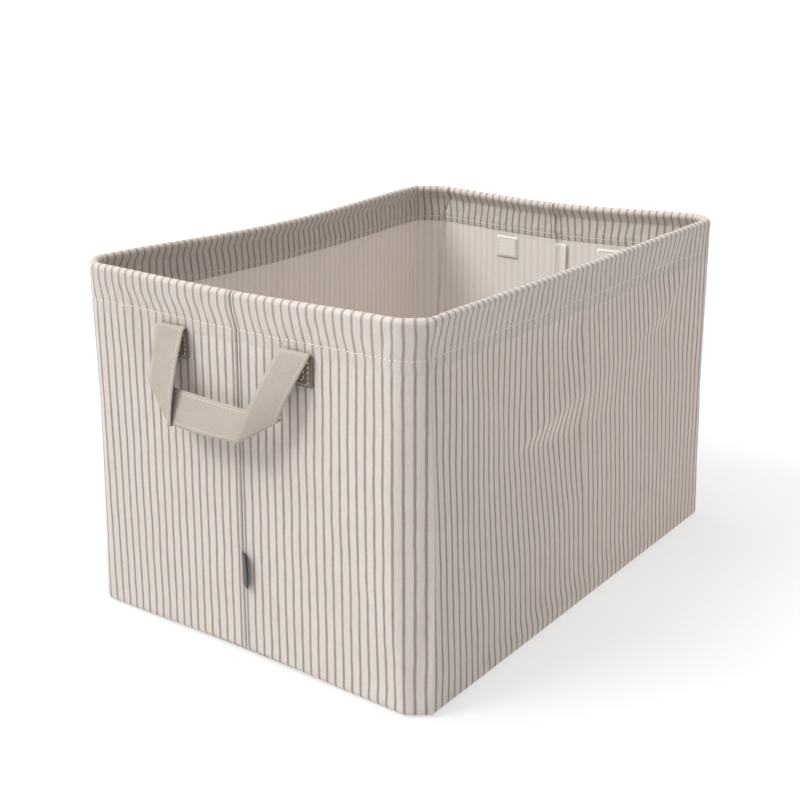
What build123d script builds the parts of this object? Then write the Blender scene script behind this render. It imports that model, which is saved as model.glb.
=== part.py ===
"""Fabric storage bin: a soft tub of striped canvas held open by a steel wire in its rim.

The tub is two C-shaped canvas panels, seamed at the middle of each short end. Each panel turns under
at the floor, rises to the rim, folds over the rim wire and comes back down inside as the hem. Two
U-bent wires meet in a crimped sleeve at each end seam. A stiff board, held under an inner sheet,
keeps the base flat. Each short end carries a webbing handle, which swings on the fold above its two
sewn ends, and the front seam holds a small woven label.

Millimetres. +Z up, origin on the floor under the middle of the base. The short ends face -Y (front)
and +Y (back), and the long sides face -X and +X.
"""

from build123d import *
from math import atan2, cos, degrees, radians, sin
import os

# Tub, outside
WIDTH = 348.0
LENGTH = 488.0
HEIGHT = 300.0
CORNER_RADIUS = 26.0
FLOOR_EDGE_RADIUS = 5.0
FABRIC = 1.0

# Rim: the wire, its two sleeves and the channel of the hem
WIRE_DIAMETER = 4.0
WIRE_CLEARANCE = 0.05
SLEEVE_WALL = 0.65
SLEEVE_LENGTH = 40.0
WIRE_END_GAP = 1.0
CHANNEL_CLEARANCE = 0.2
CHANNEL_DROP = 10.0
HEM_DEPTH = 38.0
SEAM_ALLOWANCE = 12.0

# Base, from the floor up: canvas, board, inner sheet
BOARD_THICKNESS = 2.5
INNER_SHEET = 0.8
BASE_CLEARANCE = 0.3

# Handles
STRAP_WIDTH = 30.0
STRAP_THICKNESS = 1.8
STRAP_SPACING = 120.0
STRAP_FOLD_DROP = 38.0
STRAP_FOLD_GAP = 1.2
SEWN_END_LENGTH = 24.0
LOOP_DROP = 76.0
LOOP_TILT = 15.0
MOVING_CLEARANCE = 0.3

# Patches that back the sewn ends, inside
PATCH_WIDTH = 27.0
PATCH_HEIGHT = 24.0
PATCH_THICKNESS = 1.0
PATCH_BELOW_HEM = 4.0

# Label in the front seam
LABEL_HEIGHT = 28.0
LABEL_DEPTH = 10.0
LABEL_THICKNESS = 0.8
LABEL_FOOT = 61.0
LABEL_LEAN = 20.0
LABEL_ROOT_GAP = 0.6

# Worked out from the sizes above
SLEEVE_BORE_RADIUS = WIRE_DIAMETER / 2 + WIRE_CLEARANCE
SLEEVE_RADIUS = SLEEVE_BORE_RADIUS + SLEEVE_WALL
CHANNEL_RADIUS = SLEEVE_RADIUS + CHANNEL_CLEARANCE
RIM_RADIUS = CHANNEL_RADIUS + FABRIC
WIRE_HEIGHT = HEIGHT - RIM_RADIUS
HEM_BOTTOM = HEIGHT - HEM_DEPTH
HALF_WIDTH = WIDTH / 2
HALF_LENGTH = LENGTH / 2
FOLD_RADIUS = STRAP_THICKNESS + STRAP_FOLD_GAP / 2
FOLD_HEIGHT = HEIGHT - STRAP_FOLD_DROP
FOLD_Y = -(HALF_LENGTH + MOVING_CLEARANCE + FOLD_RADIUS)


def wall_section(plane):
    """Upright section of a wall: local x runs inward from the outer face, local y is up."""
    floor_edge = FLOOR_EDGE_RADIUS
    corner = (floor_edge, floor_edge)
    rim = (RIM_RADIUS, WIRE_HEIGHT)
    # The hem leaves the roll on a slant that touches the channel and ends at the channel's foot.
    slant = 2 * atan2(CHANNEL_RADIUS, CHANNEL_DROP)
    away = (cos(slant), -sin(slant))
    leave = (RIM_RADIUS * (1 + away[0]), WIRE_HEIGHT + RIM_RADIUS * away[1])
    hem_join = leave[1] - (leave[0] - 2 * FABRIC) / (-away[1]) * away[0]
    leave_inside = (RIM_RADIUS + CHANNEL_RADIUS * away[0], WIRE_HEIGHT + CHANNEL_RADIUS * away[1])
    outline = Curve() + [
        CenterArc(corner, floor_edge, 180, 90),
        Line((0, floor_edge), (0, WIRE_HEIGHT)),
        CenterArc(rim, RIM_RADIUS, -degrees(slant), 180 + degrees(slant)),
        Polyline(
            leave,
            (2 * FABRIC, hem_join),
            (2 * FABRIC, HEM_BOTTOM),
            (FABRIC, HEM_BOTTOM),
            (FABRIC, floor_edge),
        ),
        CenterArc(corner, floor_edge - FABRIC, 180, 90),
        Line((floor_edge, FABRIC), (floor_edge, 0)),
    ]
    channel = Curve() + [
        CenterArc(rim, CHANNEL_RADIUS, -degrees(slant), 180 + degrees(slant)),
        Polyline((FABRIC, WIRE_HEIGHT), (FABRIC, WIRE_HEIGHT - CHANNEL_DROP), leave_inside),
    ]
    return plane * (make_face(outline) - make_face(channel))


def quarter_wall():
    """The left front quarter of the tub: half the front end, the corner and half the left side."""
    across = HALF_WIDTH - CORNER_RADIUS
    along = HALF_LENGTH - CORNER_RADIUS
    at_seam = Plane(origin=(0, -HALF_LENGTH, 0), x_dir=(0, 1, 0), z_dir=(1, 0, 0))
    at_corner = Plane(origin=(-across, -HALF_LENGTH, 0), x_dir=(0, 1, 0), z_dir=(1, 0, 0))
    at_side = Plane(origin=(-HALF_WIDTH, -along, 0), x_dir=(1, 0, 0), z_dir=(0, -1, 0))
    end = extrude(wall_section(at_seam), amount=across, dir=(-1, 0, 0))
    turn = Axis((-across, -along, 0), (0, 0, -1))
    corner = revolve(wall_section(at_corner), axis=turn, revolution_arc=90)
    side = extrude(wall_section(at_side), amount=along, dir=(0, 1, 0))
    return end + corner + side


def seam_flap():
    """Seam allowance at the front: the left panel's edge, pressed flat inside the right panel."""
    low = FLOOR_EDGE_RADIUS
    flap = Box(
        SEAM_ALLOWANCE + FABRIC,
        FABRIC,
        HEM_BOTTOM - low,
        align=(Align.MIN, Align.MIN, Align.MIN),
    )
    # It starts a cloth's thickness left of the seam, where the panel turns inward to carry it.
    return Pos(-FABRIC, -HALF_LENGTH + FABRIC, low) * flap


def left_panel():
    half = quarter_wall() + seam_flap()
    return half + mirror(half, about=Plane.XZ)


def right_panel():
    half = mirror(quarter_wall(), about=Plane.YZ)
    return half + mirror(half, about=Plane.XZ)


def rounded_slab(inset, thickness, bottom):
    """A flat slab whose outline lies that far inside the tub's outer face."""
    outline = RectangleRounded(
        WIDTH - 2 * inset, LENGTH - 2 * inset, CORNER_RADIUS - inset
    )
    return Pos(0, 0, bottom) * extrude(outline, amount=thickness)


def base_panel():
    return rounded_slab(FLOOR_EDGE_RADIUS, FABRIC, 0)


def base_inner_sheet():
    """The sheet over the board, turned down round it and sewn to the base canvas."""
    inset = FLOOR_EDGE_RADIUS + BASE_CLEARANCE
    pocket = BOARD_THICKNESS + BASE_CLEARANCE
    outside = rounded_slab(inset, pocket + INNER_SHEET, FABRIC)
    return outside - rounded_slab(inset + INNER_SHEET, pocket, FABRIC)


def base_board():
    inset = FLOOR_EDGE_RADIUS + INNER_SHEET + 2 * BASE_CLEARANCE
    return rounded_slab(inset, BOARD_THICKNESS, FABRIC)


def left_wire():
    """U-bent wire along the left side. Its two ends stop short of the end seams, in the sleeves."""
    x_side = HALF_WIDTH - RIM_RADIUS
    y_end = HALF_LENGTH - RIM_RADIUS
    bend = CORNER_RADIUS - RIM_RADIUS
    x_bend = x_side - bend
    y_bend = y_end - bend
    disc = Circle(WIRE_DIAMETER / 2)
    at_end = Plane(
        origin=(-WIRE_END_GAP / 2, -y_end, WIRE_HEIGHT), x_dir=(0, 1, 0), z_dir=(-1, 0, 0)
    )
    at_bend = Plane(origin=(-x_bend, -y_end, WIRE_HEIGHT), x_dir=(0, 1, 0), z_dir=(-1, 0, 0))
    at_side = Plane(origin=(-x_side, -y_bend, WIRE_HEIGHT), x_dir=(1, 0, 0), z_dir=(0, 1, 0))
    turn = Axis((-x_bend, -y_bend, 0), (0, 0, -1))
    half = (
        extrude(at_end * disc, amount=x_bend - WIRE_END_GAP / 2)
        + revolve(at_bend * disc, axis=turn, revolution_arc=90)
        + extrude(at_side * disc, amount=y_bend)
    )
    return half + mirror(half, about=Plane.XZ)


def front_sleeve():
    tube = Circle(SLEEVE_RADIUS) - Circle(SLEEVE_BORE_RADIUS)
    middle = Plane(origin=(0, -HALF_LENGTH + RIM_RADIUS, WIRE_HEIGHT), z_dir=(1, 0, 0))
    return extrude(middle * tube, amount=SLEEVE_LENGTH / 2, both=True)


def sewn_end(x_middle):
    """A strap end, stitched flat on the front wall below its fold."""
    top = FOLD_HEIGHT - FOLD_RADIUS - MOVING_CLEARANCE
    plate = Box(
        STRAP_WIDTH, STRAP_THICKNESS, SEWN_END_LENGTH, align=(Align.CENTER, Align.MAX, Align.MAX)
    )
    return Pos(x_middle, -HALF_LENGTH, top) * plate


def front_loop():
    """The hanging part of the front strap, from fold to fold.

    The arms hang in front. Each is folded back on a diagonal crease, so the grip lies behind them.
    """
    inner = (STRAP_SPACING - STRAP_WIDTH) / 2
    outer = inner + STRAP_WIDTH
    crease_top = -(LOOP_DROP - STRAP_WIDTH)
    tilt = radians(LOOP_TILT)
    hang = Plane(
        origin=(0, FOLD_Y, FOLD_HEIGHT), x_dir=(1, 0, 0), z_dir=(0, -cos(tilt), sin(tilt))
    )
    front_face = FOLD_RADIUS
    between = front_face - STRAP_THICKNESS
    grip_outline = make_face(
        Polyline(
            (-outer, crease_top), (-inner, -LOOP_DROP), (inner, -LOOP_DROP), (outer, crease_top),
            close=True,
        )
    )
    loop = extrude(hang.offset(between) * grip_outline, amount=-STRAP_THICKNESS)
    for side in (-1, 1):
        arm_outline = make_face(
            Polyline(
                (side * outer, 0), (side * inner, 0),
                (side * inner, -LOOP_DROP), (side * outer, crease_top),
                close=True,
            )
        )
        arm = extrude(hang.offset(between) * arm_outline, dir=hang.z_dir, amount=STRAP_THICKNESS)
        fold = Cylinder(FOLD_RADIUS, STRAP_WIDTH, rotation=(0, 90, 0))
        loop += arm + Pos(side * STRAP_SPACING / 2, FOLD_Y, FOLD_HEIGHT) * fold
    return loop


def patch(x_middle):
    """A square of webbing inside the front wall, behind a sewn end."""
    plate = Box(
        PATCH_WIDTH, PATCH_THICKNESS, PATCH_HEIGHT, align=(Align.CENTER, Align.MIN, Align.MAX)
    )
    return Pos(x_middle, -HALF_LENGTH + FABRIC, HEM_BOTTOM - PATCH_BELOW_HEM) * plate


def side_label():
    """Folded woven tape held in the front seam, leaning towards the right."""
    tape = Box(
        LABEL_DEPTH, LABEL_THICKNESS, LABEL_HEIGHT, align=(Align.MIN, Align.CENTER, Align.MIN)
    )
    root = Pos(0, -(HALF_LENGTH + LABEL_ROOT_GAP), LABEL_FOOT)
    return root * Rot(0, 0, -LABEL_LEAN) * tape


def at_back(front_piece):
    """The same piece at the back end: half a turn about the upright axis."""
    return Rot(0, 0, 180) * front_piece


def pieces():
    found = {
        "wall_panel_left": left_panel(),
        "wall_panel_right": right_panel(),
        "base_panel": base_panel(),
        "base_board": base_board(),
        "base_inner_sheet": base_inner_sheet(),
        "rim_wire_left": left_wire(),
        "rim_wire_right": at_back(left_wire()),
        "wire_sleeve_front": front_sleeve(),
        "wire_sleeve_back": at_back(front_sleeve()),
        "front_handle_loop": front_loop(),
        "back_handle_loop": at_back(front_loop()),
        "side_label": side_label(),
    }
    for side, x_middle in (("left", -STRAP_SPACING / 2), ("right", STRAP_SPACING / 2)):
        found[f"front_sewn_end_{side}"] = sewn_end(x_middle)
        found[f"front_patch_{side}"] = patch(x_middle)
        # Half a turn swaps left and right.
        found[f"back_sewn_end_{side}"] = at_back(sewn_end(-x_middle))
        found[f"back_patch_{side}"] = at_back(patch(-x_middle))
    return found


os.makedirs("parts", exist_ok=True)
for name, shape in pieces().items():
    export_step(shape, f"parts/{name}.step")
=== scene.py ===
"""Blender scene for the fabric storage bin: striped canvas over a rim wire, handles and a label.

Lengths are in millimetres until a mesh is made; the frame and Blender are in metres. The tub's
outline is worked out per quarter: s runs along the cloth from the middle of a short end, round the
corner, to the middle of a long side, so that a stripe is a line of constant s.
"""

from math import cos, pi, radians, sin

import bpy
import numpy as np
from mathutils import Matrix, Vector, geometry


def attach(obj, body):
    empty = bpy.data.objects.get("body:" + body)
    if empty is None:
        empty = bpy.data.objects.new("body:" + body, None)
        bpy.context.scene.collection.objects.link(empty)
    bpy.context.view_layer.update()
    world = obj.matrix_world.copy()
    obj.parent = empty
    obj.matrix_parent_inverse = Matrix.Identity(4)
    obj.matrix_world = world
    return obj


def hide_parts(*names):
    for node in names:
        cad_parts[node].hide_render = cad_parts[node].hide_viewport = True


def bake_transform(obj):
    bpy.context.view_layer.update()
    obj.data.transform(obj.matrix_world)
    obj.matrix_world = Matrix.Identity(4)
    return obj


MM = 0.001

# The tub as it stands, a little softer than the CAD's straight walls
HEIGHT = 300.0
FABRIC = 1.0  # the cloth's thickness
HALF_WIDTH_FLOOR, HALF_WIDTH_RIM = 175.2, 172.3
HALF_LENGTH_FLOOR, HALF_LENGTH_RIM = 244.0, 243.5
CORNER_HEIGHTS = (0, 60, 120, 180, 240, 280, 300)
CORNER_RADII = (19, 24.5, 28, 31, 30, 29, 29)
END_BOW, SIDE_BOW = 4.4, 7.2
END_SAG, SIDE_SAG = 3.75, 4.4
FLOOR_EDGE = 5.0  # radius of the turn at the floor
QUARTER = 411.0  # length of cloth in a quarter of the outline
STRIPE_PITCH = 8.12
STRIPE_PHASE = 4.0
WEAVE_PITCH = 1.1

# Rim and hem
RIM_RADIUS = 3.9
WIRE_RADIUS = 2.0
WIRE_HEIGHT = HEIGHT - RIM_RADIUS
SLEEVE_RADIUS = 2.7
HEM_BOTTOM = 262.0
STITCH_HEIGHT, STITCH_DEPTH = 271.0, 0.45
INNER_STITCH_HEIGHT = 267.0

# The end seams: how deep the groove between the panels is, how far it reaches along the cloth, how
# far the floor edge is tucked in and lifted there, and over what length
SEAM_DEPTH, SEAM_REACH = 2.6, 1.6
SEAM_LAYERS_AND_SHADE, SEAM_HALF = 2.3, 0.7  # how dark the seam's painted shadow is drawn, and how far
END_TUCK, END_LIFT, END_LIFT_REACH = 1.6, 2.2, 95
# The hard crease inside the far left corner: how high it stands, its heights above the floor and
# its places along the cloth
CREASE_RISE = 2.6
CREASE_HEIGHTS, CREASE_PLACES = (150, 171, 273, 291), (155, 153, 145, 134)

# Handles
STRAP_WIDTH = 30.0
STRAP_THICKNESS = 1.8
SEWN_BOTTOM, SEWN_TOP = 236.5, 259.6
SEWN_MIDDLES = (-63.5, 60.5)  # the boxes of stitches, from the seam
PATCH_MIDDLE, PATCH_HALF = 60.5, 13.0  # the patches inside, from the seam
PATCH_BOTTOM, PATCH_TOP = 233.5, 257.0

# The label and its lean away from the seam, in degrees
LABEL_BOTTOM, LABEL_TOP = 61.0, 89.0
LABEL_LEAN = 31

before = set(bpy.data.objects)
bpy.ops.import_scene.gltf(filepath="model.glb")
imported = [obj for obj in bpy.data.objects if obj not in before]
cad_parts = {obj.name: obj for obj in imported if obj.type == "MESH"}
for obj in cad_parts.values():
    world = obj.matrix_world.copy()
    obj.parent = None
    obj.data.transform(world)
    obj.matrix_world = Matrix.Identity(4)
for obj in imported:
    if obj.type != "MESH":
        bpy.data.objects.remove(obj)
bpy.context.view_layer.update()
rng = np.random.default_rng(7)


# ---------------- small helpers


def smooth(t):
    t = np.clip(t, 0.0, 1.0)
    return t * t * (3 - 2 * t)


def window(t, low, high, soft):
    """1 between low and high, falling to 0 over soft on each side."""
    return smooth((t - low + soft) / soft) * smooth((high + soft - t) / soft)


def bell(t, wide):
    """1 at t = 0, fading to nothing over a few times the width."""
    return np.exp(-((t / wide) ** 2))


class Ripple:
    """Smooth seeded unevenness: a few waves of about one length, between -1 and 1."""

    def __init__(self, length, count=7):
        turn = rng.uniform(0, 2 * pi, count)
        size = 2 * pi / (length * rng.uniform(0.7, 1.5, count))
        self.a, self.b = size * np.cos(turn), size * np.sin(turn)
        self.phase = rng.uniform(0, 2 * pi, count)

    def __call__(self, s, z):
        total = 0.0
        for a, b, p in zip(self.a, self.b, self.phase):
            total = total + np.sin(a * s + b * z + p)
        return total / (0.75 * len(self.a))


class Folds:
    """A wall's folds: heights at named points, flat facets between them, creases softened."""

    STEP = 2.5

    def __init__(self, half, points, creases, soft):
        names = list(points)
        at = [Vector((points[n][0], points[n][1])) for n in names]
        chains = [[names.index(n) for n in crease.split()] for crease in creases]
        edges = [edge for chain in chains for edge in zip(chain, chain[1:])]
        found = geometry.delaunay_2d_cdt(at, edges, [], 0, 1e-4)
        places, faces, sources = found[0], found[2], found[3]
        height = [points[names[src[0]]][2] if src else 0.0 for src in sources]
        self.a = np.arange(-half, half + self.STEP, self.STEP)
        self.z = np.arange(0, HEIGHT + self.STEP, self.STEP)
        aa, zz = np.meshgrid(self.a, self.z, indexing="ij")
        grid = np.zeros_like(aa)
        for face in faces:
            (x0, y0), (x1, y1), (x2, y2) = (places[i] for i in face[:3])
            area = (x1 - x0) * (y2 - y0) - (x2 - x0) * (y1 - y0)
            if abs(area) < 1e-9:
                continue
            w1 = ((aa - x0) * (y2 - y0) - (x2 - x0) * (zz - y0)) / area
            w2 = ((x1 - x0) * (zz - y0) - (aa - x0) * (y1 - y0)) / area
            w0 = 1 - w1 - w2
            inside = (w0 > -1e-6) & (w1 > -1e-6) & (w2 > -1e-6)
            h = w0 * height[face[0]] + w1 * height[face[1]] + w2 * height[face[2]]
            grid[inside] = h[inside]
        for _ in range(soft):
            for axis in (0, 1):
                g = np.concatenate(
                    [np.take(grid, [0], axis), grid, np.take(grid, [-1], axis)], axis
                )
                n = grid.shape[axis]
                low, mid, high = (np.take(g, np.arange(n) + k, axis) for k in (0, 1, 2))
                grid = (low + 2 * mid + high) / 4
        self.grid = grid

    def __call__(self, a, z):
        fa = np.clip((a - self.a[0]) / self.STEP, 0, len(self.a) - 1.001)
        fz = np.clip(z / self.STEP, 0, len(self.z) - 1.001)
        i, j = fa.astype(int), fz.astype(int)
        u, v = fa - i, fz - j
        g = self.grid
        return (
            (1 - u) * (1 - v) * g[i, j]
            + u * (1 - v) * g[i + 1, j]
            + (1 - u) * v * g[i, j + 1]
            + u * v * g[i + 1, j + 1]
        )


# ---------------- the cloth's shape

# Each point is (along the wall, height, outward), and each crease is a chain of points. The long
# side's folds meet in a knot.
SIDE_POINTS = {
    "floor_near": (-246, 0, 0), "floor_far": (246, 0, 0), "top_near": (-246, 300, 0),
    "top_far": (246, 300, 0), "floor_a": (-190, 12, 0), "floor_b": (-60, 13, 0.3),
    "floor_c": (60, 13, 0.3), "floor_d": (190, 12, 0), "step_a": (-190, 30, -0.3),
    "step_b": (-60, 29, -1.3), "step_c": (60, 31, -1.2), "step_d": (190, 30, -0.3),
    "low_a": (-221, 34, 0.2), "low_b": (-100, 80, -1.9), "low_c": (0, 100, -2.3),
    "low_d": (120, 100, -1.6), "low_e": (200, 90, -0.6), "knot": (-103, 166, -5.6),
    "valley_a": (-46, 158, -6.2), "valley_b": (10, 160, -4.3), "valley_c": (70, 160, -4.2),
    "valley_d": (140, 168, -3.6), "ridge_a": (-62, 180, -2.4), "ridge_b": (4, 191, -1.0),
    "ridge_c": (87, 211, -2.3), "ridge_d": (151, 231, -2.4), "ridge_e": (191, 267, -1.4),
    "under_d": (150, 212, -6.4), "up_a": (-205, 261, -3.0), "up_b": (-150, 262, -5.0),
    "up_c": (-60, 262, -3.4), "up_d": (30, 260, -3.9), "up_e": (87, 260, -5.4),
    "up_f": (144, 262, -7.0), "up_g": (-20, 235, -3.9), "rim_a": (-205, 292, -1.6),
    "rim_b": (-60, 294, -1.2), "rim_c": (60, 294, -1.2), "rim_d": (200, 292, -0.3),
    "near_mid": (-224, 150, -2.6), "near_low": (-226, 90, -1.2), "near_up": (-222, 205, -3.8),
    "near_hem": (-226, 262, -4.4), "far_mid": (218, 150, 0), "near_fan": (-178, 160, -3.6),
}
SIDE_CREASES = (
    "knot up_a", "knot low_a", "knot ridge_a ridge_b ridge_c ridge_d ridge_e",
    "knot valley_a valley_b valley_c", "step_a step_b step_c step_d",
    "floor_a floor_b floor_c floor_d",
)
END_POINTS = {
    "floor_l": (-176, 0, 0), "floor_r": (176, 0, 0), "top_l": (-176, 300, 0),
    "top_r": (176, 300, 0), "low_l": (-60, 30, -1.0), "low_r": (60, 30, -0.8),
    "side_l": (-150, 120, 0), "side_r": (150, 120, 0), "mid_l": (-90, 130, -1.2),
    "mid": (0, 150, -1.4), "mid_r": (80, 150, -1.0), "fold_a": (-126, 294, 0.2),
    "fold_b": (-113, 261, 0.1), "fold_c": (-104, 227, -0.9), "fold_d": (-96, 190, -1.4),
    "beside_a": (-104, 258, -2.8), "beside_b": (-94, 225, -2.7), "hem_l": (-60, 262, -2.0),
    "hem_m": (0, 262, -1.6), "hem_r": (80, 262, -2.2), "rim_l": (-60, 294, -0.6),
    "rim_r": (70, 294, -0.6), "crease_a": (101, 117, -1.4), "crease_b": (151, 14, -1.2),
    "crease_side": (140, 90, 0.4), "hem_far": (140, 262, -0.6), "hem_near": (-145, 262, -0.4),
}
END_CREASES = ("fold_a fold_b fold_c fold_d", "beside_a beside_b", "crease_a crease_b")

side_folds = Folds(246, SIDE_POINTS, SIDE_CREASES, 2)
end_folds = Folds(176, END_POINTS, END_CREASES, 3)
slow_ripple, quick_ripple, stripe_ripple = Ripple(70), Ripple(26), Ripple(48)
hem_ripple, hem_phase = Ripple(30), Ripple(60)


# The hem is dragged along the rim by its sewing: (place along the cloth, towards the left)
FRONT_PULL = (
    (-411, 0), (-330, -2.5), (-240, 2.5), (-150, 2.6), (-110, 4.5), (-60, 6.5), (0, 4.5),
    (30, 6.0), (75, 5.0), (110, 4.0), (140, 0.5), (200, -1.0), (280, 2.5), (340, -2.0), (411, 0),
)
BACK_PULL = (
    (-411, 0), (-330, 3.0), (-240, -2.0), (-150, 1.5), (-70, -3.0), (-12, -1.0), (0, 2.0),
    (14, 3.0), (80, -2.0), (150, 1.0), (230, 2.5), (320, -2.5), (411, 0),
)


class Quarter:
    """A quarter of the outline. across is +1 on the right, along is +1 at the back."""

    def __init__(self, across, along, facet, first, second, side_gain, end_gain):
        """facet is 0 for a round corner, 1 for a flat one; a bend is (angle, from, to, slide)."""
        self.across, self.along, self.facet = across, along, facet
        self.first, self.second = first, second
        self.side_gain, self.end_gain = side_gain, end_gain
        self.known = {}

    def corner(self, radius, z):
        """The turn from heading across to heading along: an arc, or a flat facet between two bends.

        A bend may slide towards the short end as it nears the rim."""
        t = np.linspace(0, 1, 90)
        rise = smooth((z - 110) / 140)
        bends = sum(
            angle * smooth((t - start + slide * rise) / (end - start))
            for angle, start, end, slide in (self.first, self.second)
        )
        turn = radians(1) * ((1 - self.facet) * 90 * t + self.facet * bends)
        middle = (turn[1:] + turn[:-1]) / 2
        a = np.concatenate([[0], np.cumsum(np.cos(middle))])
        b = np.concatenate([[0], np.cumsum(np.sin(middle))])
        size = 2 * radius / (a[-1] + b[-1])
        return a * size, b * size

    def trace(self, z):
        """Points round the quarter at height z, from the short end's middle, and their lengths."""
        key = round(float(z), 3)
        if key in self.known:
            return self.known[key]
        up = key / HEIGHT
        half_width = HALF_WIDTH_FLOOR + (HALF_WIDTH_RIM - HALF_WIDTH_FLOOR) * up
        half_length = HALF_LENGTH_FLOOR + (HALF_LENGTH_RIM - HALF_LENGTH_FLOOR) * up
        radius = float(np.interp(key, CORNER_HEIGHTS, CORNER_RADII))
        da, db = self.corner(radius, key)
        a0, b0 = half_width - da[-1], half_length - db[-1]
        a = np.concatenate([np.linspace(0, a0, 90)[:-1], a0 + da, np.full(129, half_width)])
        b = np.concatenate(
            [np.full(89, half_length), half_length - db, np.linspace(b0, 0, 130)[1:]]
        )
        bow_end = END_BOW * up * np.clip(1 - (a / (half_width - radius / 2)) ** 2, 0, 1) ** 2
        bow_side = SIDE_BOW * up * np.clip(1 - (b / (half_length - radius / 2)) ** 2, 0, 1) ** 2
        a, b = a - bow_side, b - bow_end
        length = np.concatenate([[0], np.cumsum(np.hypot(np.diff(a), np.diff(b)))])
        self.known[key] = (a, b, length)
        return self.known[key]

    def outline(self, s, z):
        """Place and outward direction on the smooth outline, for s across and z down the rows."""
        a, b, na, nb = (np.zeros(s.shape) for _ in range(4))
        levels, where = np.unique(np.round(z, 3), return_inverse=True)
        where = where.reshape(z.shape)
        for k, level in enumerate(levels):
            mask = where == k
            ta, tb, length = self.trace(level)
            along = np.abs(s[mask]) / QUARTER * length[-1]
            a[mask], b[mask] = np.interp(along, length, ta), np.interp(along, length, tb)
            step = 0.8
            fore = np.clip(along + step, 0, length[-1])
            aft = np.clip(along - step, 0, length[-1])
            da = np.interp(fore, length, ta) - np.interp(aft, length, ta)
            db = np.interp(fore, length, tb) - np.interp(aft, length, tb)
            size = np.maximum(np.hypot(da, db), 1e-9)
            na[mask], nb[mask] = -db / size, da / size
        # Cloth that is pulled past the seam lies on the mirrored outline.
        past = np.where(s < 0, -1.0, 1.0)
        return a * past, b, na * past, nb

    def outward(self, s, z):
        """How far folds, wrinkles and stitching push the cloth out."""
        # Both run from left to right as the wall is seen from outside.
        x = -self.across * self.along * s
        y = self.across * self.along * (QUARTER - s)
        on_end = smooth((165 - s) / 20)
        on_side = smooth((s - 162) / 16)
        push = self.end_gain * on_end * end_folds(x, z)
        push = push + self.side_gain * on_side * side_folds(y, z)
        flat = on_end + on_side
        between = window(z, 25, 250, 25)
        seed = s + 900 * self.across, z + 500 * self.along
        push = push + flat * between * (0.28 * slow_ripple(*seed) + 0.10 * quick_ripple(*seed))
        hem = window(z, 268, 288, 6)
        slant = s + 0.7 * (z - HEM_BOTTOM) * np.sign(hem_phase(s, 0 * z))
        buckle = np.sin(2 * pi * slant / 17 + 2.5 * hem_phase(s + 300 * self.along, z))
        weight = 0.25 + 0.75 * smooth(0.5 + 0.8 * hem_ripple(s + 77 * self.across, 0 * z))
        push = push + 0.32 * hem * flat * buckle * weight
        if self.along > 0 and self.across < 0:
            line = np.interp(z, CREASE_HEIGHTS, CREASE_PLACES)
            push = push + CREASE_RISE * bell(s - line, 1.5) * window(z, 40, 300, 60)
        if self.along > 0:
            # The back hem is rucked up beside its seam.
            ruck = bell(self.across * s + 5 + 0.5 * (z - 282), 3.2)
            push = push - 2.0 * ruck * window(z, 272, 290, 8)
        return push - STITCH_DEPTH * bell(z - STITCH_HEIGHT, 1.3)

    def pull(self, s, z):
        """How far the sewing has dragged the hem's cloth along the rim, above its stitches."""
        table = FRONT_PULL if self.along < 0 else BACK_PULL
        drag = np.interp(self.across * s, [x for x, _ in table], [d for _, d in table])
        return -self.across * drag * smooth((z - 268) / 24)

    def sag(self, s):
        """How far the rim hangs down between the corners."""
        end = np.clip(1 - (s / 158) ** 2, 0, 1) ** 2
        side = np.clip(1 - ((QUARTER - s) / 228) ** 2, 0, 1) ** 2
        return END_SAG * end + SIDE_SAG * side

    def place(self, s, z, inset=0.0, with_normal=False):
        """Points in mm at cloth position s and height z, that far inside the outer face."""
        s, z, inset = np.broadcast_arrays(*(np.asarray(v, float) for v in (s, z, inset)))
        level = np.clip(z, 0, HEIGHT)
        a, b, na, nb = self.outline(s + self.pull(s, level), level)
        groove = SEAM_DEPTH * np.clip(1 - s / SEAM_REACH, 0, 1) ** 1.3 * smooth((z - 2) / 6)
        edge = bell(s, END_LIFT_REACH)
        out = self.outward(s, level) - inset - groove - END_TUCK * edge * np.exp(-z / 30)
        x = self.across * (a + na * out)
        y = self.along * (b + nb * out)
        up = z - self.sag(s) * (level / HEIGHT) ** 1.6
        up = up + END_LIFT * edge * np.clip(1 - z / 50, 0, 1) ** 2
        points = np.stack([x, y, up], -1)
        if with_normal:
            return points, np.stack([self.across * na, self.along * nb, 0 * na], -1)
        return points


front_left = Quarter(-1, -1, 0.55, (45, 0.0, 0.4, 0), (45, 0.75, 0.98, 0), 0.85, 1.0)
front_right = Quarter(1, -1, 0.95, (36, 0.0, 0.36, 0), (54, 0.86, 0.97, 0.2), 1.7, 1.0)
back_left = Quarter(-1, 1, 0.9, (28, 0.04, 0.14, 0), (62, 0.7, 0.96, 0), 0.85, 0.7)
back_right = Quarter(1, 1, 0.5, (45, 0.02, 0.4, 0), (45, 0.7, 0.98, 0), 1.0, 0.7)
ENDS = {"front": (front_left, front_right), "back": (back_left, back_right)}
SIDES = {"left": (front_left, back_left), "right": (front_right, back_right)}


def stripe_shift(quarter, s, z):
    """Stripes wander a little, most of all in the hem."""
    wander = 0.35 * stripe_ripple(s + 500 * quarter.across, z + 300 * quarter.along)
    hem = window(z, 266, 288, 6)
    wave = np.sin(2 * pi * (z - 264) / 30 + 3 * hem_phase(s, z * 0 + 40 * quarter.along))
    return wander * smooth(s / 6) + 0.35 * hem * wave * smooth(s / 8)


# ---------------- meshes


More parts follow.
